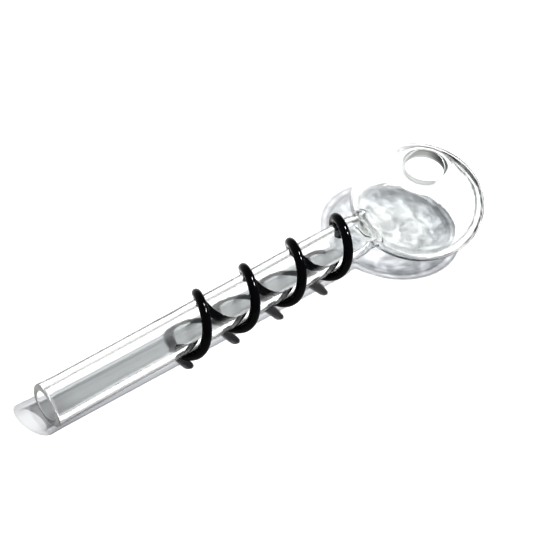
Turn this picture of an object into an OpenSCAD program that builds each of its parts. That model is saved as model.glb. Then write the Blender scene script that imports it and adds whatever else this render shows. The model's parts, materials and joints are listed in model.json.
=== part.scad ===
// Glass bulb pipe: a clear tube stem fused to a blown, slightly squashed bulb,
// a thick fire-polished lip round the vent on top of the bulb,
// and a black glass rod wound round the stem as a left-handed spiral.
// All the glass is fused, so nothing moves.
// Units are millimetres. +Z is up and z = 0 is the table that it lies on.
// +X runs along the stem from the mouth towards the bulb.
// The origin is the middle of the flat spot that the bulb rests on.

/* [Stem] */
// Mouth of the stem to the middle of the bulb, along the stem
reach = 126.3; // [90:0.1:160]
// Outside diameter of the stem tube
stem_od = 12; // [9:0.1:16]
// Wall of the stem tube
stem_wall = 1.9; // [1:0.1:3]
// Fire-polished rounding of the mouth, outside edge
mouth_round_out = 0.4; // [0.2:0.05:1.2]
// Fire-polished rounding of the mouth, inside edge
mouth_round_in = 0.4; // [0.2:0.05:1.2]

/* [Neck] */
// Outside diameter at the waist, just before the bulb
neck_od = 10.8; // [8:0.1:12]
// Bore at the waist
neck_bore = 7; // [4:0.1:8]
// Radius of the two easing curves from the stem down to the waist
neck_ease_r = 8; // [4:0.5:20]
// Radius of the flare from the waist out to the bulb
flare_r = 2.6; // [1:0.1:5]
// Angle the flare turns through
flare_turn = 56; // [30:1:70]

/* [Bulb] */
// Widest diameter of the bulb
bulb_d = 38.8; // [28:0.1:50]
// Height of the bulb before its base is flattened
bulb_h = 29.8; // [26:0.1:40]
// Radius of the bulb's side in section
bulb_side_r = 11.5; // [8:0.1:12]
// Wall of the bulb
bulb_wall = 1.8; // [1:0.1:3]
// Radius of the flat spot on the base
foot_r = 4.5; // [2:0.1:7]

/* [Vent] */
// Diameter of the vent through the lip
vent_d = 11; // [6:0.1:14]
// Width of the lip round the vent
lip_w = 1.35; // [0.8:0.05:2.5]
// How far the lip stands proud of the bulb, outside and inside
lip_proud = 0.35; // [0.1:0.05:1]
// Rounding of the lip's four edges
lip_round = 0.55; // [0.2:0.05:1]

/* [Spiral wrap] */
// Diameter of the black rod
rod_d = 2.8; // [1.5:0.1:4]
// How far the rod is melted onto the stem
rod_sink = 0.25; // [0:0.05:0.5]
// Clear stem left between the rod's melted foot and the neck
wrap_gap = 0.1; // [0:0.1:30]
// Lead of one full turn along the stem
wrap_pitch = 16.13; // [8:0.01:20]
// Number of turns
wrap_turns = 3.86; // [2:0.01:6]
// Turns at the bulb end over which the lead eases off to nothing
tail_turns = 0.24; // [0.1:0.01:1]
// Angle round the stem where the rod ends, from the top towards +Y
wrap_angle = 129.6; // [-180:0.1:180]
// Length over which each end of the rod is rounded off, along the rod
rod_end = 2.4; // [1:0.1:5]

/* [Hidden] */
$fa = 3;
$fs = 0.25;
wrap_rings = 36;                       // rings of the rod to a turn
wrap_sides = 16;                       // sides of the rod's section
stem_r = stem_od / 2;
stem_bore_r = stem_r - stem_wall;
neck_r = neck_od / 2;
neck_bore_r = neck_bore / 2;
mo = min(mouth_round_out, 0.55 * stem_wall);
mi = min(mouth_round_in, 0.4 * stem_wall);
// the bulb's section is an oval of four arcs that run into each other smoothly
a = bulb_d / 2;
c = bulb_h / 2;
side_r = min(bulb_side_r, c - 0.6);
pole_r = (pow(a - side_r, 2) + c * c - side_r * side_r) / (2 * (c - side_r));
pole_drop = pole_r - c;
oval_x = (a - side_r) * pole_r / (pole_r - side_r);
// the foot is flat, and the middle of the bulb stands this high
foot_cut = pole_r - sqrt(pole_r * pole_r - foot_r * foot_r);
rise = c - foot_cut;
// the stem is tipped so that the mouth's lower edge touches the table too
tilt = asin(rise / norm([reach - mo, stem_r])) - atan2(stem_r, reach - mo);
// places along the stem, from its mouth
flare_at = reach - a;
// the vent's lip
vent_r = vent_d / 2;
seat_r = vent_r + lip_w;
lip_er = min(lip_round, 0.45 * lip_w);
lip_top = sqrt(pole_r * pole_r - seat_r * seat_r) - pole_drop + lip_proud;
lip_low = sqrt(pow(pole_r - bulb_wall, 2) - seat_r * seat_r) - pole_drop - lip_proud;
// the rod is placed from where the neck begins, so it stays on the straight stem
rod_r = rod_d / 2;
foot_half = sqrt(pow(rod_r, 2) - pow(rod_r - rod_sink, 2));
wrap_end = neck_from(stem_r, neck_r) - wrap_gap - foot_half;
wrap_start = wrap_end - wrap_pitch * (wrap_turns - tail_turns / 2);

// Puts a shape drawn up the Z axis, mouth at the origin, on the stem's axis.
module on_stem() {
    translate([0, 0, rise]) rotate([0, 90 - tilt, 0]) translate([0, 0, -reach]) children();
}

// Half section of the bulb: an oval, "off" inside its outer surface.
module oval(off) {
    intersection() {
        union() {
            translate([a - side_r, 0]) circle(side_r - off);
            intersection() {
                translate([0, -pole_drop]) circle(pole_r - off);
                translate([0, pole_drop]) circle(pole_r - off);
                translate([0, -c]) square([oval_x - off * (oval_x - a + side_r) / side_r, 2 * c]);
            }
        }
        translate([0, -c]) square([a, 2 * c]);
    }
}

// Points on an arc of radius r about (x, y), from angle p to angle q, both ends included.
function arc(x, y, r, p, q, n) = [for (i = [0 : n]) let (t = p + (q - p) * i / n) [x + r * cos(t), y + r * sin(t)]];

// Angle of the two easing curves between radius r1 and radius r2, and where they begin.
function neck_turn(r1, r2) = acos(1 - abs(r1 - r2) / (2 * neck_ease_r));
function neck_from(r1, r2) = flare_at - 2 * neck_ease_r * sin(neck_turn(r1, r2));

// Half section from the axis out to a line that leaves radius r1 by a curve, eases
// in (or out) to radius r2, and flares out at z = at: the stem's outside and its bore.
module necked(r1, r2, at, fr) {
    R = neck_ease_r;
    way = sign(r1 - r2);
    turn = neck_turn(r1, r2);
    z1 = neck_from(r1, r2);
    fz = fr * sin(flare_turn);
    fx = r2 + fr * (1 - cos(flare_turn));
    polygon(concat(
        [[0, 0], [r1, 0]],
        turn < 0.5 ? [[r2, at]] : concat(
            [for (i = [0 : 6]) let (t = turn * i / 6) [r1 - way * R * (1 - cos(t)), z1 + R * sin(t)]],
            [for (i = [5 : -1 : 0]) let (t = turn * i / 6) [r2 + way * R * (1 - cos(t)), at - R * sin(t)]]),
        arc(r2 + fr, at, fr, 180 - flare_turn / 10, 180 - flare_turn, 9),
        [[fx, at + fz + 2 * fr], [0, at + fz + 2 * fr]]));
}

// The bore of stem and neck, out to the bulb's hollow and a little past the mouth.
module bore() {
    on_stem() rotate_extrude() {
        necked(stem_bore_r, neck_bore_r, flare_at, flare_r);
        difference() {
            square([stem_bore_r + mi, mi]);
            translate([stem_bore_r + mi, mi]) circle(mi);
        }
        translate([0, -1]) square([stem_bore_r + mi, 1]);
    }
}

// The tube: a straight length of tubing drawn in to a waist and flared against the bulb.
module stem_tube() {
    color([0.80, 0.87, 0.88, 0.45])
    difference() {
        on_stem() rotate_extrude() difference() {
            necked(stem_r, neck_r, flare_at, flare_r);
            difference() {
                translate([stem_r - mo, 0]) square(mo);
                translate([stem_r - mo, mo]) circle(mo);
            }
        }
        bore();
        translate([0, 0, rise]) rotate_extrude() oval(0);
    }
}

// The blown bulb: an even wall, open to the stem's bore and at the vent, flat at the foot.
module bulb() {
    color([0.72, 0.82, 0.86, 0.45])
    difference() {
        translate([0, 0, rise]) rotate_extrude() difference() {
            oval(0);
            oval(bulb_wall);
            translate([0, -c]) square([a, foot_cut]);
            square([seat_r, c]);
        }
        bore();
    }
}

// The thick rounded ring of glass round the vent.
module vent_lip() {
    color([0.60, 0.75, 0.80, 0.6])
    translate([0, 0, rise]) rotate_extrude() {
        translate([vent_r + lip_er, lip_low]) square([lip_w - 2 * lip_er, lip_top - lip_low]);
        translate([vent_r, lip_low + lip_er]) square([lip_w, lip_top - lip_low - 2 * lip_er]);
        for (x = [vent_r + lip_er, seat_r - lip_er], y = [lip_low + lip_er, lip_top - lip_er])
            translate([x, y]) circle(lip_er);
    }
}

// Distance from the mouth to the rod after t turns: an even lead that eases off at the end.
function wrap_at(t) = wrap_start + wrap_pitch * (t - pow(max(0, t - wrap_turns + tail_turns), 2) / (2 * tail_turns));
// Radius of the rod after t turns: full, and rounded off like a ball at both ends.
function rod_at(t) =
    let (s = min(t, wrap_turns - t) * 2 * PI * (stem_r + rod_r) / rod_end, q = 1 - min(1, s))
    rod_r * max(0.05, sqrt(1 - q * q));

// The black rod: a round section melted flat where it meets the stem, carried round a helix.
module spiral_wrap() {
    n = ceil(wrap_rings * wrap_turns);
    step = wrap_turns / n;
    base = stem_r / cos(180 * step);
    extra = [for (k = [1 : 4]) step * k / 5];
    ts = concat([0], extra, [for (i = [1 : n - 1]) i * step], [for (k = [4 : -1 : 1]) wrap_turns - step * k / 5], [wrap_turns]);
    m = len(ts);
    pts = [for (t = ts)
        let (rr = rod_at(t), mid = stem_r + rr * (1 - rod_sink / rod_r),
            th = wrap_angle + 360 * (t - wrap_turns), z = wrap_at(t))
        for (j = [0 : wrap_sides - 1])
            let (p = 360 * j / wrap_sides, r = max(base, mid + rr * cos(p)))
            [-r * cos(th), r * sin(th), z + rr * sin(p)]];
    faces = concat(
        [[for (j = [0 : wrap_sides - 1]) j]],
        [for (i = [0 : m - 2], j = [0 : wrap_sides - 1])
            let (k = (j + 1) % wrap_sides, u = i * wrap_sides, v = u + wrap_sides)
            each [[u + j, v + j, v + k], [u + j, v + k, u + k]]],
        [[for (j = [wrap_sides - 1 : -1 : 0]) (m - 1) * wrap_sides + j]]);
    color([0.03, 0.03, 0.035]) on_stem() polyhedron(pts, faces, convexity = 10);
}

stem_tube();
bulb();
vent_lip();
spiral_wrap();
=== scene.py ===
# %% [markdown]
# # A glass bulb pipe with a black spiral wrap
#
# The real object is made at a torch from clear tubing and one black glass rod. The tube is drawn in to
# a waist and its end is blown into a squashed bulb. A hole is blown through the bulb's top and its edge
# is melted until it draws back into a thick round lip. Last, a black rod is melted onto the stem while
# the stem is turned, which winds it into a spiral.
#
# The clear glass is one piece in the real object, so it is one closed surface here. If the tube and the
# bulb were two meshes that meet, light would leave one and enter the other at the join, and the join
# would show as a ring that a fused piece doesn't have.

import json
import math

import bpy
import numpy as np
from mathutils import Matrix, Vector


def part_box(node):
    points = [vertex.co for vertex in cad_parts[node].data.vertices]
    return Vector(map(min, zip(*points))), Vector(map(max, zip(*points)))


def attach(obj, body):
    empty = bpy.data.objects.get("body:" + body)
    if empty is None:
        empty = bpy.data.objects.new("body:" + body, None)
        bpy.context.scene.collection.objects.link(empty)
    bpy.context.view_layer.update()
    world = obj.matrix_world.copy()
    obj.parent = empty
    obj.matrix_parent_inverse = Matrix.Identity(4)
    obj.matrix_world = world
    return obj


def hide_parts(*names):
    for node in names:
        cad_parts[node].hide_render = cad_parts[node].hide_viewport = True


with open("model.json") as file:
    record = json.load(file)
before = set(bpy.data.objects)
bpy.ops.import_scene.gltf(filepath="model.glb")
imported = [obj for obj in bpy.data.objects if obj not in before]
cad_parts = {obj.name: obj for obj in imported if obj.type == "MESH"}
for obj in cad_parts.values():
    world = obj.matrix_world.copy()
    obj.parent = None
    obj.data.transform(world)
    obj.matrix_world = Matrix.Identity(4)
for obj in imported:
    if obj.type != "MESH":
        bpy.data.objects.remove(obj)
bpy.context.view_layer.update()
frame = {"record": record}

# %% [markdown]
# ## The camera
#
# The camera comes first, because every later choice is judged through it. It looks down at the pipe from
# beyond the mouth, with a long lens, which keeps the bulb and the mouth nearly the same scale. It is
# turned slightly about its own line of sight, as a camera held in the hand is.

# %% Camera
SENSOR = 36.0
EYE = Vector((-0.27829, -0.23413, 0.35029))
SIGHT_RIGHT = Vector((0.78667953, -0.60953631, 0.09798369))
SIGHT_UP = Vector((0.38707806, 0.6106289, 0.69087113))
SIGHT_BACK = Vector((-0.48094272, -0.50556684, 0.71630739))
LENS = 115.614
NEAR_CLIP, FAR_CLIP = 0.01, 20.0

cam_data = bpy.data.cameras.new("camera")
cam_data.lens = LENS
cam_data.sensor_width = SENSOR
cam_data.clip_start = NEAR_CLIP
cam_data.clip_end = FAR_CLIP
camera = bpy.data.objects.new("camera", cam_data)
turn = Matrix((SIGHT_RIGHT, SIGHT_UP, SIGHT_BACK)).transposed()
camera.matrix_world = Matrix.Translation(EYE) @ turn.to_4x4()
bpy.context.collection.objects.link(camera)
bpy.context.scene.camera = camera
print("camera", round(EYE.length, 3), "m from the bulb's foot")

# %% [markdown]
# ## The sizes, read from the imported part
#
# The stem's axis and its bore come from the part's mounts, and its outside is the bore and the wall
# together. The bulb's width and the stem's length come from their boxes. What the frame doesn't say,
# such as how thick the bulb is blown, is named here once.

# %% Sizes
MM = 0.001
mounts = {m["name"]: m for m in frame["record"]["mounts"]}


def mount_size(name, key):
    """A mount's size in metres, from its size in millimetres."""
    return mounts[name]["dims"][key] * MM


STEM_WALL = 1.9 * MM
BORE_R = mount_size("mouth_bore", "r_mm")
STEM_R = BORE_R + STEM_WALL
VENT_R = mount_size("vent_bore", "r_mm")
along = -np.array(mounts["mouth_bore"]["axis"], float)
along /= np.linalg.norm(along)
on_axis = np.array(mounts["mouth_bore"]["pos_m"], float)

bulb_low, bulb_high = (np.array(corner, float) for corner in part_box("bulb"))
BULB_R = float(bulb_high[1] - bulb_low[1]) / 2
bulb_mid = on_axis - along * on_axis[0] / along[0]
stem_low = np.array(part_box("stem_tube")[0], float)
across = np.array([-along[2], 0.0, along[0]])
side = np.array([0.0, 1.0, 0.0])
REACH = float((bulb_mid[0] - stem_low[0] - STEM_R * along[2]) / along[0])
print("stem radius", STEM_R, "reach", round(REACH, 5))
print("bulb radius", round(BULB_R, 5), "middle", bulb_mid)

# %% Sizes that the frame doesn't state
BULB_HALF_H = 14.9 * MM
BULB_SIDE_R = 11.5 * MM
BULB_WALL = 1.8 * MM
WAIST_R = 5.4 * MM
WAIST_BORE_R = 3.5 * MM
WAIST_AT = 19.4 * MM  # the waist's inner end, back from the bulb's middle
EASE = 4.8 * MM  # length of the easing from stem to waist
FLARE = 2.4 * MM  # how broadly the neck flows into the bulb
NECK_SPARE = 0.6 * MM  # plain neck left beyond the flare, where the stem's rows take over
FOOT_SOFT = 0.25 * MM  # how softly the flat foot begins
LIP_THICK = 0.35 * MM  # what the lip adds to each side of the wall
LIP_SPREAD = 2.4 * MM
LIP_ROUND = 1.25 * MM
LIP_BELOW_TOP = 0.9 * MM  # a first guess at how far the lip's edge lies below the bulb's top
MOUTH_ROUND = 0.65 * MM
MOUTH_FLARE = 0.35 * MM  # the mouth opens a little on its upper side, where it was softened
MOUTH_FLARE_RUN = 3.0 * MM
SWELL_OUTSIDE, SWELL_INSIDE = 0.03 * MM, 0.05 * MM  # unevenness of drawn tubing
SWELL_SHORT, SWELL_LONG = 9 * MM, 23 * MM
SWELL_FADE = 6 * MM  # length over which the swells die away at both ends of the stem
print("bulb", round(2e3 * BULB_HALF_H, 1), "mm high before its foot is flat")
print("waist", round(2e3 * WAIST_R, 1), "mm across")

# %% [markdown]
# ## The clear glass as one surface
#
# A tube that is open at both ends has an outside and an inside that meet at two rims, so its surface
# closes on itself in both directions, like a ring's. That makes it a single grid: one parameter runs
# from the mouth along the outside to the vent, over the lip, back along the inside and round the
# mouth's rim, and the other runs round the glass.
#
# The difficult part is the bulb, whose two openings aren't opposite each other. The stem enters at the
# side and the vent is on top. Two circles on a ball define a family of circles between them: all the
# planes that pass through the one line where the two circles' planes meet. Stepping through those
# planes carries the neck's circle over the whole ball to the vent's circle, with no pole and no seam.

# %% Rows of directions from the neck round to the vent
COLUMNS = 160


def unit(v):
    """Vectors scaled to length one."""
    return v / np.linalg.norm(v, axis=-1, keepdims=True)


def rows_between(neck_angle, vent_angle, count):
    """Directions from the bulb's middle, count rows by COLUMNS.

    In the upright plane through the stem, the neck's plane is the line n.p = cos(neck_angle) and the
    vent's plane is z = cos(vent_angle). They cross at the pivot. Each row's plane is a line through the
    pivot, turned evenly from the first to the second. A row is the circle in which that plane cuts the
    unit ball: its middle is the point of the line nearest the ball's middle, its radius is
    sqrt(1 - distance squared), and the column angle runs from the side nearest the pivot.
    """
    n = -along
    top = math.cos(vent_angle)
    pivot = np.array([(math.cos(neck_angle) - n[2] * top) / n[0], 0.0, top])
    start = math.atan2(n[0], -n[2])
    w = np.linspace(start, 0.0, count)[:, None]
    ray = np.stack([np.cos(w), 0 * w, np.sin(w)], axis=-1)
    middle = pivot - (pivot * ray).sum(-1, keepdims=True) * ray
    radius = np.sqrt(1 - (middle**2).sum(-1, keepdims=True))
    b = np.linspace(0, 2 * math.pi, COLUMNS, endpoint=False)[None, :, None]
    return unit(middle + radius * (-np.cos(b) * ray + np.sin(b) * side))


TEST_NECK, TEST_VENT = 0.24, 0.44
test = rows_between(TEST_NECK, TEST_VENT, 5)
from_stem = np.degrees(np.arccos(test[0] @ -along))
from_top = np.degrees(np.arccos(test[-1, :, 2]))
print("first row is", np.ptp(from_stem).round(4), "degrees out of round about the stem")
print("last row is", np.ptp(from_top).round(4), "degrees out of round about the vent")

# %% [markdown]
# ## The bulb's section
#
# Blown glass sags a little while it is soft, so the bulb is wider than it is tall. Its section is an oval
# of four arcs: a tight one at each side and a wide one above and below. Where two surfaces flow into each
# other, such as the neck into the bulb, a smooth maximum joins them: it is the larger of the two, plus a
# little where they are nearly equal, and that little is what looks melted.


# %% Distances from the bulb's middle
def smooth_max(p, q, k):
    """The larger of p and q, raised by (k - |p - q|)^2 / 4k where they differ by less than k."""
    return np.maximum(p, q) + np.maximum(k - np.abs(p - q), 0) ** 2 / (4 * k)


def oval(d, inset):
    """Distance from the bulb's middle to the oval along directions d, inset below its outside.

    The side arc has its middle at q from the axis, so t = q r + sqrt((q r)^2 + s^2 - q^2) for a
    direction of radial part r. The top arc has its middle p below, so t = -p z + sqrt((p z)^2 + R^2 - p^2).
    The arcs change over where the direction passes through their common normal.
    """
    q = BULB_R - BULB_SIDE_R
    big = (q**2 + BULB_HALF_H**2 - BULB_SIDE_R**2) / (2 * (BULB_HALF_H - BULB_SIDE_R))
    p = big - BULB_HALF_H
    s, big_in = BULB_SIDE_R - inset, big - inset
    r, z = np.hypot(d[..., 0], d[..., 1]), np.abs(d[..., 2])
    by_side = q * r + np.sqrt(np.maximum((q * r) ** 2 + s**2 - q**2, 0))
    by_top = -p * z + np.sqrt((p * z) ** 2 + big_in**2 - p**2)
    normal = np.array([q, p]) / math.hypot(q, p)
    turn_r, turn_z = normal[0] * big_in, normal[1] * big_in - p
    return np.where(z * turn_r > r * turn_z, by_top, by_side)


def foot_cut(t, d, floor, k):
    """Distance t, shortened smoothly so that no point is lower than floor below the bulb's middle."""
    down = np.maximum(-d[..., 2], 1e-6)
    return -smooth_max(-t, -floor / down, k)


def bulb_wall_at(d, inset, neck_r, lip):
    """Distance to the bulb's surface along d, with the neck flowing in and the wall thickened to the lip.

    The neck is a cylinder about the stem, at neck_r / sin(angle from the stem). The lip adds LIP_THICK,
    outwards or inwards as lip is +1 or -1, by a smooth step as the distance from the vent's axis falls.
    """
    t = oval(d, inset)
    if lip > 0:
        t = foot_cut(t, d, bulb_mid[2], FOOT_SOFT)
    stemward = np.clip(d @ -along, -1, 1)
    sine = np.sqrt(np.maximum(1 - stemward**2, 1e-9))
    to_neck = np.where(stemward > 0, neck_r / sine, 0)
    t = smooth_max(t, to_neck, FLARE)
    rim = VENT_R + LIP_ROUND
    reach_out = np.hypot(d[..., 0], d[..., 1]) * t
    x = np.clip((rim + LIP_SPREAD - reach_out) / LIP_SPREAD, 0, 1)
    x = np.where(d[..., 2] > 0, x * x * (3 - 2 * x), 0)
    return t + lip * LIP_THICK * x


# %% [markdown]
# ## The stem
#
# The stem's rows are circles about its axis, from the mouth to where the neck's flare begins. The radius
# eases from tube to waist on a raised cosine. Hand-drawn glass is never quite even, so the outside and
# the bore are given slow swells of a few hundredths of a millimetre, which bend what is seen through
# them slightly. The mouth opens on its upper side only, so that its lower edge still rests on the floor.


# %% Stem rows
def eased_radius(back, wide, narrow):
    """Radius at a distance back from the bulb's middle: wide, easing by half a cosine to narrow."""
    x = np.clip((back - WAIST_AT) / EASE, 0, 1)
    return narrow + (wide - narrow) * 0.5 * (1 - np.cos(math.pi * x))


def stem_rows(back, wide, narrow, swell):
    """Points of circles about the stem's axis, one row for each distance back from the bulb's middle.

    To the eased radius it adds a swell, the product of two slow waves, and near the mouth an opening
    that falls away as exp(-(distance / run)^2) and goes from full at the top to none at the bottom.
    """
    back = np.asarray(back, float)[:, None, None]
    b = np.linspace(0, 2 * math.pi, COLUMNS, endpoint=False)[None, :, None]
    wave = np.sin(back / SWELL_SHORT + 1.0 + 0.6 * np.sin(b)) * np.sin(back / SWELL_LONG + 2 * b)
    fade = np.clip((REACH - back) / SWELL_FADE, 0, 1) * np.clip((back - WAIST_AT) / SWELL_FADE, 0, 1)
    opening = MOUTH_FLARE * np.exp(-(((REACH - MOUTH_ROUND - back) / MOUTH_FLARE_RUN) ** 2))
    radius = eased_radius(back, wide, narrow) + swell * wave * fade + opening * (1 + np.cos(b)) / 2
    return bulb_mid - back * along + radius * (np.cos(b) * across + np.sin(b) * side)


STEM_ROWS, NECK_ROWS = 56, 24
LIP_TRIES = 6


def shell_rows(inset, wide, narrow, lip, swell, bulb_count):
    """One side of the glass, outside or inside, from near the mouth to the edge of the lip.

    The stem's last row and the bulb's first row are the same circle, where the neck's distance still
    exceeds the oval's by more than the flare, so the two formulas agree there. The lip's edge is where
    the wall's distance from the vent's axis is the rim's, found by stepping along the wall a few times.
    """
    start = float(oval(-along[None, :], inset)[0]) + FLARE + NECK_SPARE
    neck_angle = math.asin(narrow / start)
    rim = VENT_R + LIP_ROUND
    d = np.array([rim, 0.0, BULB_HALF_H - inset - LIP_BELOW_TOP])
    for _ in range(LIP_TRIES):
        t = bulb_wall_at(unit(d)[None, :], inset, narrow, lip)[0]
        d = unit(d) * t
        d[0] = rim
    vent_angle = math.atan2(d[0], d[2])
    rows = rows_between(neck_angle, vent_angle, bulb_count)
    bulb = bulb_mid + rows * bulb_wall_at(rows, inset, narrow, lip)[..., None]
    back = np.concatenate(
        [
            np.linspace(REACH - MOUTH_ROUND, WAIST_AT + EASE, STEM_ROWS, endpoint=False),
            np.linspace(WAIST_AT + EASE, start * math.cos(neck_angle), NECK_ROWS, endpoint=False),
        ]
    )
    return np.concatenate([stem_rows(back, wide, narrow, swell), bulb])


outside = shell_rows(0.0, STEM_R, WAIST_R, +1, SWELL_OUTSIDE, bulb_count=120)
inside = shell_rows(BULB_WALL, BORE_R, WAIST_BORE_R, -1, SWELL_INSIDE, bulb_count=110)
print("outside rows", outside.shape, "inside rows", inside.shape)

# %% [markdown]
# ## The two rims
#
# A flame rounds a cut edge, because melted glass pulls itself as round as it can. Each rim is half an
# ellipse from the outside surface to the inside one, drawn in the frame of the wall there, so it leaves
# both surfaces in the direction that they already have.


# %% Rims
def rim_rows(first, last, outward, bulge, count):
    """Rows of a half ellipse from the row first to the row last, bulging by bulge along outward.

    The point at angle a is middle + cos(a) * (first - last) / 2 + sin(a) * bulge * outward, for a from 0
    to 180 degrees, both ends left out.
    """
    a = np.linspace(0, math.pi, count + 2)[1:-1, None, None]
    middle, half = (first + last) / 2, (first - last) / 2
    return middle + np.cos(a) * half + np.sin(a) * bulge * outward


# the lip bulges square to the wall there, towards the vent's middle
upright = np.array([0.0, 0.0, 1.0])
vent_wall = outside[-1] - inside[-1]
bulge_way = unit(np.cross(np.cross(vent_wall, upright), vent_wall))
radial = (outside[-1] - bulb_mid) * [1, 1, 0]
bulge_way *= -np.sign((bulge_way * radial).sum(-1, keepdims=True))
vent_rim = rim_rows(outside[-1], inside[-1], bulge_way, LIP_ROUND, count=14)
mouth_rim = rim_rows(inside[0], outside[0], -along, MOUTH_ROUND, count=12)
grid = np.concatenate([outside, vent_rim, inside[::-1], mouth_rim])
print("vent opening", round(2e3 * np.hypot(vent_rim[:, :, 0], vent_rim[:, :, 1]).min(), 2), "mm")
print("whole grid", grid.shape)

# %% [markdown]
# ## From a grid to a piece
#
# A mesh is a list of points and a list of faces that name them. A grid gives both at once, because each
# face joins a point to its next neighbours along and round. Its faces must point outwards, or the glass
# would bend light the wrong way, so the sign of the enclosed volume is looked at and the faces turned.


# %% Grid to mesh
def closed_mesh(name, points, wrap_rows=True):
    """A mesh of four-sided faces over a grid of points that closes on itself along both parameters.

    Corner k of face (i, j) is the point (i, j), (i, j+1), (i+1, j+1) or (i+1, j), counted round.
    """
    rows, columns = points.shape[:2]
    index = np.arange(rows * columns).reshape(rows, columns)
    nxt = np.roll(index, -1, axis=0) if wrap_rows else index[1:]
    here = index if wrap_rows else index[:-1]
    faces = np.stack([here, np.roll(here, -1, 1), np.roll(nxt, -1, 1), nxt], axis=-1).reshape(-1, 4)
    mesh = bpy.data.meshes.new(name)
    mesh.from_pydata(points.reshape(-1, 3).tolist(), [], faces.tolist())
    return mesh


def signed_volume(mesh):
    """The mesh's volume, negative if its faces point inwards: the sum of its triangles' tetrahedra."""
    mesh.calc_loop_triangles()
    at = np.empty(len(mesh.vertices) * 3)
    mesh.vertices.foreach_get("co", at)
    at = at.reshape(-1, 3)
    tri = np.empty(len(mesh.loop_triangles) * 3, dtype=np.int32)
    mesh.loop_triangles.foreach_get("vertices", tri)
    p, q, r = (at[tri.reshape(-1, 3)[:, k]] for k in range(3))
    return float((np.cross(p, q) * r).sum() / 6)


def finished_piece(name, mesh):
    """An object for a mesh, smooth shaded, with its faces turned outwards."""
    if signed_volume(mesh) < 0:
        mesh.flip_normals()
    mesh.polygons.foreach_set("use_smooth", np.ones(len(mesh.polygons), dtype=bool))
    mesh.update()
    piece = bpy.data.objects.new(name, mesh)
    bpy.context.collection.objects.link(piece)
    print(name, len(mesh.vertices), "points,", round(signed_volume(mesh) * 1e9, 1), "mm3")
    return piece


clear_glass_body = finished_piece("clear_glass_body", closed_mesh("clear_glass_body", grid))
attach(clear_glass_body, "root")
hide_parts("stem_tube", "bulb", "vent_lip")

# %% [markdown]
# ## The spiral
#
# The rod is a round section carried round the stem. Where it meets the stem it was soft, so it has
# spread flat against it. Its lead is even until the last quarter of a turn, where it eases off to
# nothing, so the rod ends square to the stem beside the neck. The maker's hand shows as slow changes of
# lead and thickness.

# %% Spiral sizes
ROD_R = 1.4 * MM
ROD_SINK = 0.25 * MM
WRAP_END = 24.64 * MM  # the rod's last point, back from the bulb's middle
WRAP_LEAD = 16.13 * MM
WRAP_TURNS = 3.86
TAIL_TURNS = 0.24
END_ANGLE = 129.6  # degrees round the stem, from its top, where the rod ends
WRAP_START = REACH - WRAP_END - WRAP_LEAD * (WRAP_TURNS - TAIL_TURNS / 2)
WRAP_ANGLE = math.radians(END_ANGLE - 360 * WRAP_TURNS)
ROD_END = 2.4 * MM
INTO_GLASS = 0.10 * MM  # how far the melted foot of the rod reaches into the stem's surface
LEAD_DRIFT = 0.25 * MM
SLOW_UNEVEN, QUICK_UNEVEN = 0.035, 0.02  # changes of the rod's thickness, as shares of it
RINGS_TO_A_TURN, ROD_SIDES, CAP_RINGS = 72, 28, 10
print("the rod begins", round(WRAP_START / MM, 1), "mm from the mouth")


def wrap_along(t):
    """Distance from the mouth after t turns, with a slow drift that is nothing at both ends.

    It is start + lead * (t - late^2 / 2 tail), where late is how far t has gone into the tail.
    """
    late = np.maximum(t - WRAP_TURNS + TAIL_TURNS, 0)
    drift = LEAD_DRIFT * np.sin(2.1 * t + 0.4) * np.sin(math.pi * t / WRAP_TURNS)
    return WRAP_START + WRAP_LEAD * (t - late**2 / (2 * TAIL_TURNS)) + drift


def rod_radius(t):
    """Rod radius after t turns: nearly even, and closing as a ball does over ROD_END at each end."""
    length = 2 * math.pi * (STEM_R + ROD_R)
    s = np.clip(np.minimum(t, WRAP_TURNS - t) * length / ROD_END, 0, 1)
    uneven = 1 + SLOW_UNEVEN * np.sin(5.3 * t + 1.1) + QUICK_UNEVEN * np.sin(11.9 * t)
    return ROD_R * uneven * np.sqrt(np.maximum(1 - (1 - s) ** 2, 1e-4))


def spiral_points():
    """The spiral as a grid: turns t along, angle p round the section.

    The section's middle is at stem radius + r (1 - sink). A point is at radius middle + r cos(p) and
    r sin(p) along the stem, and no nearer the axis than the melted foot.
    """
    ends = ROD_END / (2 * math.pi * (STEM_R + ROD_R))
    cap = ends * (1 - np.cos(np.linspace(0, math.pi / 2, CAP_RINGS)))
    body = np.linspace(ends, WRAP_TURNS - ends, int(RINGS_TO_A_TURN * WRAP_TURNS))[1:-1]
    t = np.concatenate([cap, body, (WRAP_TURNS - cap)[::-1]])[:, None]
    p = np.linspace(0, 2 * math.pi, ROD_SIDES, endpoint=False)[None, :]
    r = rod_radius(t)
    middle = STEM_R + r * (1 - ROD_SINK / ROD_R)
    radius = np.maximum(middle + r * np.cos(p), STEM_R - INTO_GLASS)
    angle = (WRAP_ANGLE + 2 * math.pi * t)[..., None]
    back = (REACH - wrap_along(t) - r * np.sin(p))[..., None]
    outward = np.cos(angle) * across + np.sin(angle) * side
    return bulb_mid - back * along + radius[..., None] * outward


def capped_mesh(name, points):
    """A tube's grid with its two end rows closed by a face each."""
    mesh = closed_mesh(name, points, wrap_rows=False)
    rows, columns = points.shape[:2]
    faces = [list(f.vertices) for f in mesh.polygons]
    faces += [list(range(columns))[::-1], list(range((rows - 1) * columns, rows * columns))]
    mesh.clear_geometry()
    mesh.from_pydata(points.reshape(-1, 3).tolist(), [], faces)
    return mesh


black_spiral = finished_piece("black_spiral", capped_mesh("black_spiral", spiral_points()))
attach(black_spiral, "root")
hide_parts("spiral_wrap")

# %% [markdown]
# ## Small helpers for materials
#
# A material is a tree of nodes. The looks below are worked out from a few kinds of value: how edge on
# the surface is seen, where on the glass a point is, and a noise. Helpers keep each sum to one line.


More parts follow.
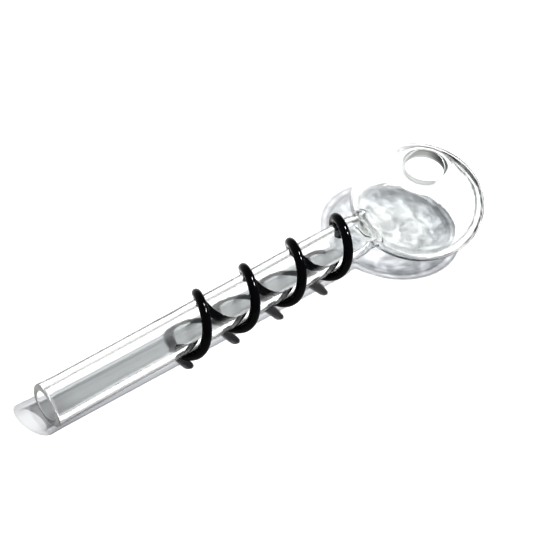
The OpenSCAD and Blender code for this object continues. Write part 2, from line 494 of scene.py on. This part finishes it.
# %% Node helpers
def set_inputs(made, inputs):
    """Sets a node's input sockets by name, with underscores for spaces."""
    for key, value in inputs.items():
        made.inputs[key.replace("_", " ")].default_value = value


def node(tree, kind, **inputs):
    """A node of a kind, with its input sockets set by name."""
    made = tree.nodes.new(kind)
    set_inputs(made, inputs)
    return made


def color_stops(ramp, stops):
    """Gives a colour ramp these (place, colour) stops."""
    marks = ramp.color_ramp.elements
    while len(marks) < len(stops):
        marks.new(0.5)
    for mark, (at, color) in zip(marks, stops):
        mark.position = at
        mark.color = (*color, 1)


def ramp_node(tree, fac, stops):
    """A colour ramp with these stops, fed by the socket fac."""
    ramp = tree.nodes.new("ShaderNodeValToRGB")
    color_stops(ramp, stops)
    tree.links.new(fac, ramp.inputs["Fac"])
    return ramp.outputs["Color"]


def map_range(tree, value, low, high, to_low, to_high):
    """The socket value carried linearly from low..high to to_low..to_high, and held at its ends."""
    made = node(tree, "ShaderNodeMapRange", From_Min=low, From_Max=high, To_Min=to_low, To_Max=to_high)
    tree.links.new(value, made.inputs["Value"])
    return made.outputs["Result"]


def math_node(tree, operation, first, second):
    """A Math node on two inputs, each a socket or a number."""
    made = tree.nodes.new("ShaderNodeMath")
    made.operation = operation
    for k, given in enumerate((first, second)):
        if isinstance(given, (int, float)):
            made.inputs[k].default_value = given
        else:
            tree.links.new(given, made.inputs[k])
    return made.outputs[0]


def product(tree, first, *others):
    """The product of several sockets or numbers, one Math node for each after the first."""
    for other in others:
        first = math_node(tree, "MULTIPLY", first, other)
    return first


def vector_node(tree, operation, socket, factor=None):
    """A Vector Math node on a socket, with a fixed second vector where it needs one."""
    made = tree.nodes.new("ShaderNodeVectorMath")
    made.operation = operation
    tree.links.new(socket, made.inputs[0])
    if factor is not None:
        made.inputs[1].default_value = factor
    return made


def along_direction(tree, coords, direction, middle):
    """Distance of a point along a direction, measured from a middle point, in metres."""
    dot = vector_node(tree, "DOT_PRODUCT", coords, direction).outputs["Value"]
    return math_node(tree, "SUBTRACT", dot, float(np.dot(direction, middle)))


def from_upright(tree, coords):
    """Distance of a point from the upright axis through the vent, in metres."""
    flat = vector_node(tree, "MULTIPLY", coords, (1, 1, 0)).outputs[0]
    return vector_node(tree, "LENGTH", flat).outputs["Value"]


def mixed(tree, fac, first, second):
    """A Mix Shader: the shader first where fac is 0 and second where it is 1."""
    mix = tree.nodes.new("ShaderNodeMixShader")
    for socket, given in zip(mix.inputs, (fac, first, second)):
        tree.links.new(given, socket)
    return mix.outputs[0]


# %% [markdown]
# ## Clear glass
#
# Glass has almost no colour of its own. What shows it is how it bends the bright floor and the darker
# surroundings, most of all near its edges. Three things that real glass does would take very many
# samples or a whole room to trace, and each is made in a plainer way.
#
# The shadow. Light is focused through glass onto the floor. For the rays that only ask how much light
# reaches a surface, the material is instead a plain filter, a veil, clear where the surface faces the
# ray and dense where it is seen edge on.
#
# The dark edges. A real room has dark things that the edges of glass mirror. A dark tint stands in for
# them, where the surface is seen nearly edge on, most of all on one side of the bulb.
#
# The light in the wall. Light is carried along inside a glass wall and comes out where the wall ends. A
# ray that is still inside after many bounces finds a plain pale grey glow, and the mouth and the lip are
# painted with some of the same glow, less on one side of the lip.
#
# Where each of these is strong or weak is worked out from the place on the glass, in the part's own
# frame, so it stays there when the pipe is seen from another side.

# %% Ramps by facing, from facing the ray at 0 to edge on at 1: the shadow veil, the glass colour with painted darkening at its edges, and the weight of the painted dark reflection
# the veil's alternating dark and light stops paint light and dark bands into the shadow, standing in for
# the lines that glass focuses into it
VEIL_STOPS = [
    (0.00, (0.985, 0.99, 0.99)),
    (0.20, (0.945, 0.95, 0.955)),
    (0.32, (0.80, 0.81, 0.82)),
    (0.40, (0.91, 0.915, 0.92)),
    (0.52, (0.70, 0.71, 0.72)),
    (0.60, (0.86, 0.865, 0.87)),
    (0.74, (0.52, 0.525, 0.545)),
    (0.80, (0.74, 0.74, 0.76)),
    (0.92, (0.25, 0.255, 0.28)),
    (1.00, (0.12, 0.12, 0.14)),
]
# the glass's colour darkens towards edge on: painted darkening, standing in for dark surroundings seen in
# its edges
PAINTED_EDGE_DARKENING_STOPS = [
    (0.00, (0.985, 0.995, 0.99)),
    (0.60, (0.97, 0.98, 0.975)),
    (0.82, (0.86, 0.875, 0.87)),
    (0.93, (0.55, 0.565, 0.565)),
    (1.00, (0.15, 0.16, 0.16)),
]
EDGE_STOPS = [
    (at, (weight, weight, weight))
    for at, weight in (
        (0.00, 0.0),
        (0.60, 0.0),
        (0.65, 0.85),
        (0.74, 1.0),
        (0.78, 0.15),
        (0.84, 0.30),
        (0.88, 1.0),
        (1.00, 1.0),
    )
]
# painted reflection of dark surroundings, mixed in at the edges
PAINTED_DARK_REFLECTION = (0.01, 0.012, 0.012, 1)
# painted glow: light carried in the wall, given as an emission
WALL_LIGHT = (0.70, 0.715, 0.70, 1)
GLASS_IOR = 1.47
print("colour stops", len(VEIL_STOPS), len(PAINTED_EDGE_DARKENING_STOPS), len(EDGE_STOPS))

# %% Places on the clear glass
ORIGIN = (0, 0, 0)
TO_BULB, TO_TOP = (1, 0, 0), (0, 0, 1)
TO_FAR_END = (0.94, -0.34, 0)  # the part of the bulb furthest from the stem
TO_DARK_SIDE = (0.79, -0.38, 0.35)  # the side of the bulb whose edge is darkest
TO_LIP_SHADE = (0.79, -0.61, 0)  # the side of the lip that glows least
BULB_HEART = (0, 0, 14.5 * MM)
VEIL_CHANGE, BULB_START = (-19 * MM, 0, 0), (-16 * MM, 0, 0)
MOUTH_END = (-REACH, 0, 0)

# Each of these is (low, high, given at low, given at high), for a distance or the noise.
VEIL_STRENGTH = (-3 * MM, 3 * MM, 0.82, 0.98)  # thick tubing's shadow is darker than the thin bulb's
ON_BULB = (-3 * MM, 3 * MM, 0.0, 1.0)
CAUSTIC_PATCH_PAINT = (0.40, 0.60, -0.24, 0.10)  # painted patches of lighter and darker shadow, standing in for light focused by uneven blown glass
# painted shadow: the veil is denser under the bulb's far end and within a few millimetres of the mouth
FAR_END_VEIL = (16.8 * MM, 17.8 * MM, 1.0, 0.66)
MOUTH_VEIL = (6 * MM, 12 * MM, 0.90, 1.0)
# where the painted dark reflection is strongest: on one side of the bulb, broken up by the noise, and along
# the stem, less at the very mouth
DARK_SIDE = (-1 * MM, 9 * MM, 0.20, 1.0)
BROKEN_EDGE = (0.38, 0.58, 0.55, 1.0)
STEM_EDGE = (1.8 * MM, 3 * MM, 0.20, 0.44)
LIP_RADIUS = (7.6 * MM, 8.8 * MM, 1.0, 0.0)
LIP_HEIGHT = (18 * MM, 19 * MM, 0.0, 1.0)
# where the painted glow shows: at the mouth's rim and round the lip, less on one side of the lip
MOUTH_GLOW = (0.3 * MM, 1 * MM, 0.42, 0.0)
LIP_GLOW = (6 * MM, 7 * MM, 1.0, 0.0)
LIP_SHADE = (1 * MM, 4.5 * MM, 0.62, 0.12)
MANY_BOUNCES = 7.5
print("the bulb's looks begin", round(-BULB_START[0] / MM, 1), "mm back from its middle")


# %% Clear glass material
def veil_color(tree, coords, unevenness, facing, on_bulb):
    """The shadow filter's colour: VEIL_STOPS by facing, times how strong the veil is at that place."""
    strength = map_range(tree, along_direction(tree, coords, TO_BULB, VEIL_CHANGE), *VEIL_STRENGTH)
    # painted caustics: noise patches of lighter and darker shadow, on the bulb only
    painted_caustics = product(tree, map_range(tree, unevenness, *CAUSTIC_PATCH_PAINT), on_bulb)
    painted_caustic_factor = math_node(tree, "ADD", painted_caustics, 1.0)
    far_end = map_range(tree, along_direction(tree, coords, TO_FAR_END, ORIGIN), *FAR_END_VEIL)
    near_mouth = map_range(tree, along_direction(tree, coords, TO_BULB, MOUTH_END), *MOUTH_VEIL)
    scaled = vector_node(tree, "SCALE", ramp_node(tree, facing, VEIL_STOPS))
    tree.links.new(product(tree, painted_caustic_factor, far_end, near_mouth, strength), scaled.inputs["Scale"])
    return scaled.outputs[0]


def painted_reflection_weight(tree, coords, unevenness, facing, on_bulb, near_lip):
    """How strong the painted dark reflection is: EDGE_STOPS by facing, times a weight for the bulb or the
    stem, off the lip.
    """
    side_on = along_direction(tree, coords, TO_DARK_SIDE, BULB_HEART)
    broken = map_range(tree, unevenness, *BROKEN_EDGE)
    bulb_weight = product(tree, map_range(tree, side_on, *DARK_SIDE), broken, on_bulb)
    from_mouth = along_direction(tree, coords, TO_BULB, MOUTH_END)
    off_bulb = math_node(tree, "SUBTRACT", 1.0, on_bulb)
    stem_weight = product(tree, map_range(tree, from_mouth, *STEM_EDGE), off_bulb)
    off_lip = math_node(tree, "SUBTRACT", 1.0, near_lip)
    weight = math_node(tree, "ADD", bulb_weight, stem_weight)
    return product(tree, weight, off_lip, ramp_node(tree, facing, EDGE_STOPS))


def wall_glow(tree, coords, near_lip, ray_depth):
    """How much of the painted glow of light in the wall is seen: all after many bounces, some at the mouth
    and lip.
    """
    from_mouth = along_direction(tree, coords, TO_BULB, MOUTH_END)
    at_mouth = map_range(tree, from_mouth, *MOUTH_GLOW)
    at_lip = map_range(tree, from_upright(tree, coords), *LIP_GLOW)
    shade = map_range(tree, along_direction(tree, coords, TO_LIP_SHADE, ORIGIN), *LIP_SHADE)
    ends = math_node(tree, "MAXIMUM", at_mouth, product(tree, near_lip, at_lip, shade))
    deep = math_node(tree, "GREATER_THAN", ray_depth, MANY_BOUNCES)
    return math_node(tree, "MAXIMUM", deep, ends)


def clear_glass():
    """Principled glass with a painted dark reflection at its edges and a painted glow in its wall, and a
    veil for shadow and diffuse rays.
    """
    m = bpy.data.materials.new("clear_glass_finish")
    m.use_nodes = True
    tree = m.node_tree
    tree.nodes.clear()
    link = tree.links.new
    coords = tree.nodes.new("ShaderNodeTexCoord").outputs["Object"]
    facing = node(tree, "ShaderNodeLayerWeight", Blend=0.5).outputs["Facing"]
    path = tree.nodes.new("ShaderNodeLightPath").outputs
    noise = node(tree, "ShaderNodeTexNoise", Scale=120.0, Detail=2.5, Distortion=2.2)
    link(coords, noise.inputs["Vector"])
    # this noise gives the glass's real unevenness through the bump, and also the painted caustic patches
    # and the breaks in the painted dark reflection
    unevenness = noise.outputs[0]
    on_bulb = map_range(tree, along_direction(tree, coords, TO_BULB, BULB_START), *ON_BULB)
    height = along_direction(tree, coords, TO_TOP, ORIGIN)
    near_vent = map_range(tree, from_upright(tree, coords), *LIP_RADIUS)
    near_lip = product(tree, near_vent, map_range(tree, height, *LIP_HEIGHT))

    glass = node(tree, "ShaderNodeBsdfPrincipled", Roughness=0.0, IOR=GLASS_IOR, Metallic=0.0)
    glass.inputs["Transmission Weight"].default_value = 1.0
    link(ramp_node(tree, facing, PAINTED_EDGE_DARKENING_STOPS), glass.inputs["Base Color"])
    bump = node(tree, "ShaderNodeBump", Strength=0.12, Distance=0.4 * MM)
    link(unevenness, bump.inputs["Height"])
    link(bump.outputs[0], glass.inputs["Normal"])
    dark = node(tree, "ShaderNodeBsdfTransparent", Color=PAINTED_DARK_REFLECTION)
    glow = node(tree, "ShaderNodeEmission", Color=WALL_LIGHT, Strength=1.0)
    veil = tree.nodes.new("ShaderNodeBsdfTransparent")
    link(veil_color(tree, coords, unevenness, facing, on_bulb), veil.inputs["Color"])

    edge = painted_reflection_weight(tree, coords, unevenness, facing, on_bulb, near_lip)
    body = mixed(tree, edge, glass.outputs[0], dark.outputs[0])
    body = mixed(tree, wall_glow(tree, coords, near_lip, path["Ray Depth"]), body, glow.outputs[0])
    only_asks = math_node(tree, "MAXIMUM", path["Is Shadow Ray"], path["Is Diffuse Ray"])
    out = tree.nodes.new("ShaderNodeOutputMaterial")
    link(mixed(tree, only_asks, body, veil.outputs[0]), out.inputs["Surface"])
    print(m.name, len(tree.nodes), "nodes")
    return m


clear_glass_body.data.materials.append(clear_glass())


# %% [markdown]
# ## Black glass
#
# The rod is glass coloured so deeply that no light gets through. It is as smooth as the clear glass, so
# it shows small hard highlights on black. Its gloss is kept low, so that away from them it stays black.


# %% Black glass material
def black_glass():
    """Near-black Principled surface with a glass-like gloss and faint unevenness from the flame."""
    m = bpy.data.materials.new("black_glass_finish")
    m.use_nodes = True
    tree = m.node_tree
    link = tree.links.new
    bsdf = tree.nodes["Principled BSDF"]
    set_inputs(bsdf, {"Base Color": (0.004, 0.004, 0.005, 1), "Roughness": 0.04})
    set_inputs(bsdf, {"IOR": 1.35, "Specular IOR Level": 0.07})
    coords = tree.nodes.new("ShaderNodeTexCoord")
    noise = node(tree, "ShaderNodeTexNoise", Scale=420.0, Detail=2.0)
    bump = node(tree, "ShaderNodeBump", Strength=0.12, Distance=0.2 * MM)
    link(coords.outputs["Object"], noise.inputs["Vector"])
    link(noise.outputs[0], bump.inputs["Height"])
    link(bump.outputs[0], bsdf.inputs["Normal"])
    print(m.name, len(tree.nodes), "nodes")
    return m


black_spiral.data.materials.append(black_glass())

# %% [markdown]
# ## Floor and surroundings
#
# The pipe lies on a plain white surface that is lit until it is nearly pure white. It has no gloss, so
# that nothing bright is mirrored in it and the shadows stay clear. Glass would vanish on white under
# even light. Its edges are drawn by whatever is dark around it, so the surroundings are bright low down
# on one side, towards -X and +Y, and dark above and on the other side.

# %% Floor
FLOOR_HALF = 1.5
FLOOR_CORNERS = [(x * FLOOR_HALF, y * FLOOR_HALF, 0) for x, y in ((-1, -1), (1, -1), (1, 1), (-1, 1))]
floor_mesh = bpy.data.meshes.new("floor")
floor_mesh.from_pydata(FLOOR_CORNERS, [], [(0, 1, 2, 3)])
floor = bpy.data.objects.new("floor", floor_mesh)
bpy.context.collection.objects.link(floor)
white = bpy.data.materials.new("white_table")
white.use_nodes = True
table_bsdf = white.node_tree.nodes["Principled BSDF"]
set_inputs(table_bsdf, {"Base Color": (0.93, 0.93, 0.93, 1), "Roughness": 0.6, "Specular IOR Level": 0.0})
floor_mesh.materials.append(white)
print("floor", 2 * FLOOR_HALF, "m across")

# %% Surroundings
BRIGHT_WAY = (-0.50, 0.84, -0.90)
SURROUND_STOPS = [
    (0.00, (0.03, 0.03, 0.035)),
    (0.50, (0.04, 0.042, 0.046)),
    (0.62, (0.25, 0.255, 0.26)),
    (0.75, (0.85, 0.85, 0.85)),
    (1.00, (0.9, 0.9, 0.9)),
]
world = bpy.data.worlds.new("surroundings")
bpy.context.scene.world = world
world.use_nodes = True
sky = world.node_tree
sky.nodes.clear()
sky_way = sky.nodes.new("ShaderNodeTexCoord").outputs["Generated"]
towards_bright = vector_node(sky, "DOT_PRODUCT", sky_way, BRIGHT_WAY).outputs["Value"]
half = sky.nodes.new("ShaderNodeMath")  # carries -1..1 to 0..1, which is what a ramp reads
half.operation = "MULTIPLY_ADD"
half.inputs[1].default_value = 0.5
half.inputs[2].default_value = 0.5
sky.links.new(towards_bright, half.inputs[0])
background = node(sky, "ShaderNodeBackground", Strength=1.0)
sky.links.new(ramp_node(sky, half.outputs[0], SURROUND_STOPS), background.inputs["Color"])
sky_out = sky.nodes.new("ShaderNodeOutputWorld")
sky.links.new(background.outputs[0], sky_out.inputs["Surface"])
print("surroundings", len(sky.nodes), "nodes")

# %% [markdown]
# ## Lamps
#
# Two lamps light the scene: a small one, the key, throws the crisp dark shadows, and a fainter one
# overhead softens them. Both are hidden from reflections and from what is seen through the glass, where
# a small bright lamp would show as hard white specks. Two larger ones, the windows, light only the black
# rod and give each of its turns a pair of small highlights.
#
# The view is a part of the light too. Its exposure lifts the floor to white, and a gamma below one
# darkens the middle greys, which gives clear glass more contrast on white.


# %% Lamps
def softbox(name, at, aim, width, watts):
    """A square area lamp at a point, facing another point, as bright far from it as near it."""
    data = bpy.data.lights.new(name, "AREA")
    data.shape = "RECTANGLE"
    data.size, data.size_y = width, width
    data.energy = watts
    data.use_nodes = True
    tree = data.node_tree
    falloff = node(tree, "ShaderNodeLightFalloff", Strength=1.0)
    tree.links.new(falloff.outputs["Constant"], tree.nodes["Emission"].inputs["Strength"])
    lamp = bpy.data.objects.new(name, data)
    lamp.location = at
    lamp.rotation_euler = (Vector(aim) - Vector(at)).to_track_quat("-Z", "Y").to_euler()
    lamp.visible_transmission = False
    bpy.context.collection.objects.link(lamp)
    return lamp


# name, place, what it faces, width in metres, watts
ROOM_LAMPS = (
    ("key_softbox", (0.095, -0.172, 0.500), (-0.05, 0.0, 0.0), 0.024, 12.8),
    ("side_softbox", (-0.02, -0.02, 0.80), (-0.02, 0.0, 0.0), 0.05, 2.4),
)
for name, at, aim, width, watts in ROOM_LAMPS:
    softbox(name, at, aim, width, watts).visible_glossy = False

WINDOW_AIM, WINDOW_WIDTH, WINDOW_WATTS = (-0.05, 0.0, 0.01), 0.09, 60.0
only_the_rod = bpy.data.collections.new("lit_by_windows")
only_the_rod.objects.link(black_spiral)
for name, at in (("back_window", (0.24, 0.10, 0.52)), ("front_window", (0.24, -0.09, 0.52))):
    window = softbox(name, at, WINDOW_AIM, WINDOW_WIDTH, WINDOW_WATTS)
    window.visible_diffuse = False
    window.light_linking.receiver_collection = only_the_rod

# %% View
view = bpy.context.scene.view_settings
view.view_transform = "Standard"
view.look = "None"
view.exposure = 0.15
view.gamma = 0.78
print("view", view.view_transform, round(view.exposure, 2), round(view.gamma, 2))
